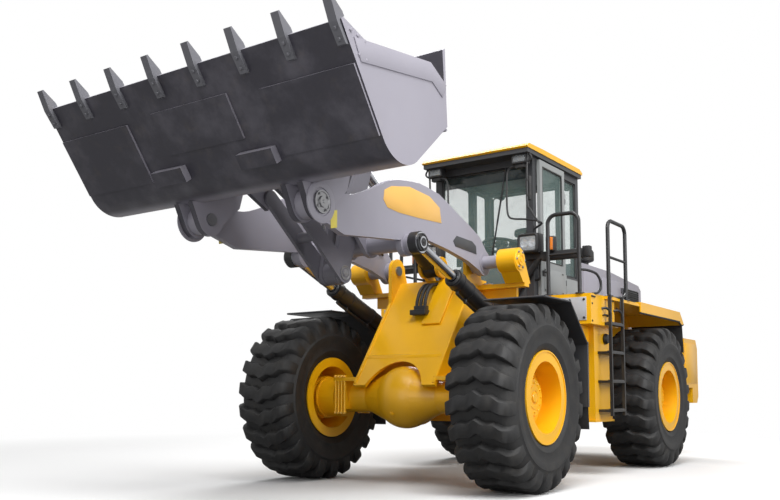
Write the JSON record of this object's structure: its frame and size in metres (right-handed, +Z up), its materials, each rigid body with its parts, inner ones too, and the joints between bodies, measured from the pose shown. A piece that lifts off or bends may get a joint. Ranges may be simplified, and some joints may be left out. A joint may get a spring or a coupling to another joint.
{
  "type": "articulated wheel loader",
  "caption": "Articulated wheel loader with a toothed bucket on a Z-bar boom, a glazed cab and four large lugged tyres, parked straight with the boom about level and the bucket rolled back.",
  "frame": {"origin": "on the ground, below the middle of the part's box", "axes": "+X forward towards the bucket, +Y to the machine's left, +Z up"},
  "size_m": [8.2614, 2.86, 3.39],
  "materials": {
    "yellow_paint": "gloss",
    "grey_paint": "satin",
    "dark_paint": "satin",
    "black_paint": "satin",
    "bare_steel": "satin",
    "tyre_rubber": "matte",
    "window_glass": "gloss",
    "black_plastic": "matte",
    "cast_mass": "matte"
  },
  "bodies": {
    "rear_half": {"rear_frame": "yellow_paint", "rear_plates": "yellow_paint", "hitch_pins": "bare_steel", "rear_axle": "yellow_paint", "engine_block": "cast_mass", "hood": "grey_paint", "hood_grilles": "black_plastic", "counterweight": "yellow_paint", "rear_fenders": "yellow_paint", "cab_frame": "dark_paint", "cab_roof": "yellow_paint", "cab_glass": "window_glass", "seat": "black_plastic", "steering_column": "black_plastic", "platforms": "yellow_paint", "ladders": "black_paint", "guard_rails": "black_paint", "headlamps": "black_plastic", "work_lamps": "black_plastic", "exhaust_stack": "black_paint"},
    "door": {"door_left": "dark_paint", "door_glass": "window_glass"},
    "front_half": {"front_frame": "yellow_paint", "pivot_pins": "bare_steel", "front_axle": "yellow_paint", "front_fenders": "dark_paint"},
    "boom": {"boom": "grey_paint", "linkage_pins": "bare_steel"},
    "rocker": {"rocker": "grey_paint"},
    "link": {"bucket_link": "grey_paint"},
    "tilt_barrel": {"tilt_barrel": "black_paint"},
    "tilt_rod": {"tilt_rod": "bare_steel"},
    "lift_barrels": {"lift_barrels": "black_paint"},
    "lift_rods": {"lift_rods": "bare_steel"},
    "bucket": {"bucket": "grey_paint", "bucket_teeth": "dark_paint"},
    "steer_barrel_left": {"steer_barrel_left": "black_paint"},
    "steer_rod_left": {"steer_rod_left": "bare_steel"},
    "steer_barrel_right": {"steer_barrel_right": "black_paint"},
    "steer_rod_right": {"steer_rod_right": "bare_steel"},
    "wheel_front_left": {"tyre_front_left": "tyre_rubber", "rim_front_left": "yellow_paint"},
    "wheel_front_right": {"tyre_front_right": "tyre_rubber", "rim_front_right": "yellow_paint"},
    "wheel_rear_left": {"tyre_rear_left": "tyre_rubber", "rim_rear_left": "yellow_paint"},
    "wheel_rear_right": {"tyre_rear_right": "tyre_rubber", "rim_rear_right": "yellow_paint"}
  },
  "joints": [
    {"name": "articulation", "type": "hinge", "parent": "rear_half", "child": "front_half", "pos_m": [-0.43072, 0, 1], "axis": [0, 0, 1], "range_deg": [-35, 35]},
    {"name": "boom_lift", "type": "hinge", "parent": "front_half", "child": "boom", "pos_m": [0.75928, 0, 2.04], "axis": [0, -1, 0], "range_deg": [-47, 46]},
    {"name": "bucket_tilt", "type": "hinge", "parent": "boom", "child": "bucket", "pos_m": [3.25728, 0, 2.148], "axis": [0, 1, 0], "range_deg": [0, 140]},
    {"name": "door_hinge", "type": "hinge", "parent": "rear_half", "child": "door", "pos_m": [-1.00572, 0.612, 2.4], "axis": [0, 0, 1], "range_deg": [0, 70]},
    {"name": "roll_front_left", "type": "hinge", "parent": "front_half", "child": "wheel_front_left", "pos_m": [1.21928, 1.125, 0.79], "axis": [0, 1, 0], "continuous": true},
    {"name": "roll_front_right", "type": "hinge", "parent": "front_half", "child": "wheel_front_right", "pos_m": [1.21928, -1.125, 0.79], "axis": [0, 1, 0], "continuous": true},
    {"name": "roll_rear_left", "type": "hinge", "parent": "rear_half", "child": "wheel_rear_left", "pos_m": [-2.08072, 1.125, 0.79], "axis": [0, 1, 0], "continuous": true},
    {"name": "roll_rear_right", "type": "hinge", "parent": "rear_half", "child": "wheel_rear_right", "pos_m": [-2.08072, -1.125, 0.79], "axis": [0, 1, 0], "continuous": true},
    {"name": "rocker_swing", "type": "hinge", "parent": "boom", "child": "rocker", "pos_m": [2.16928, 0, 2.29], "axis": [0, -1, 0], "range_deg": [-0.5, 65.78]},
    {"name": "link_swing", "type": "hinge", "parent": "rocker", "child": "link", "pos_m": [2.29928, 0, 1.805], "axis": [0, -1, 0], "range_deg": [-92.82, 0.5]},
    {"name": "tilt_barrel_swing", "type": "hinge", "parent": "boom", "child": "tilt_barrel", "pos_m": [0.75928, 0, 2.04], "axis": [0, -1, 0], "range_deg": [-10.24, 0.5]},
    {"name": "tilt_stroke", "type": "slide", "parent": "tilt_barrel", "child": "tilt_rod", "axis": [0.8406, 0, 0.5416], "range_m": [-0.58188, 0.002]},
    {"name": "lift_barrel_swing", "type": "hinge", "parent": "front_half", "child": "lift_barrels", "pos_m": [0.52928, 0, 1.44], "axis": [0, -1, 0], "range_deg": [-35.86, 35.11]},
    {"name": "lift_stroke", "type": "slide", "parent": "lift_barrels", "child": "lift_rods", "axis": [0.931, 0, 0.3649], "range_m": [-0.38296, 0.37486]},
    {"name": "steer_barrel_swing_left", "type": "hinge", "parent": "rear_half", "child": "steer_barrel_left", "pos_m": [-1.13072, 0.42, 0.75], "axis": [0, 0, 1], "range_deg": [-10.82, 10.82]},
    {"name": "steer_stroke_left", "type": "slide", "parent": "steer_barrel_left", "child": "steer_rod_left", "axis": [0.9963, -0.0854, 0], "range_m": [-0.21786, 0.21786]},
    {"name": "steer_barrel_swing_right", "type": "hinge", "parent": "rear_half", "child": "steer_barrel_right", "pos_m": [-1.13072, -0.42, 0.75], "axis": [0, 0, 1], "range_deg": [-10.82, 10.82]},
    {"name": "steer_stroke_right", "type": "slide", "parent": "steer_barrel_right", "child": "steer_rod_right", "axis": [0.9963, 0.0854, 0], "range_m": [-0.21786, 0.21786]}
  ],
  "couplings": [
    {"joint": "rocker_swing", "follows": "bucket_tilt", "ratio": 0.4663},
    {"joint": "link_swing", "follows": "bucket_tilt", "ratio": -0.6594},
    {"joint": "tilt_barrel_swing", "follows": "bucket_tilt", "ratio": -0.0696},
    {"joint": "tilt_stroke", "follows": "bucket_tilt", "m_per_rad": -0.23732},
    {"joint": "lift_barrel_swing", "follows": "boom_lift", "ratio": 0.7524},
    {"joint": "lift_stroke", "follows": "boom_lift", "m_per_rad": 0.46442},
    {"joint": "steer_barrel_swing_left", "follows": "articulation", "ratio": 0.2949},
    {"joint": "steer_stroke_left", "follows": "articulation", "m_per_rad": -0.35337},
    {"joint": "steer_barrel_swing_right", "follows": "articulation", "ratio": 0.2949},
    {"joint": "steer_stroke_right", "follows": "articulation", "m_per_rad": 0.35337}
  ]
}
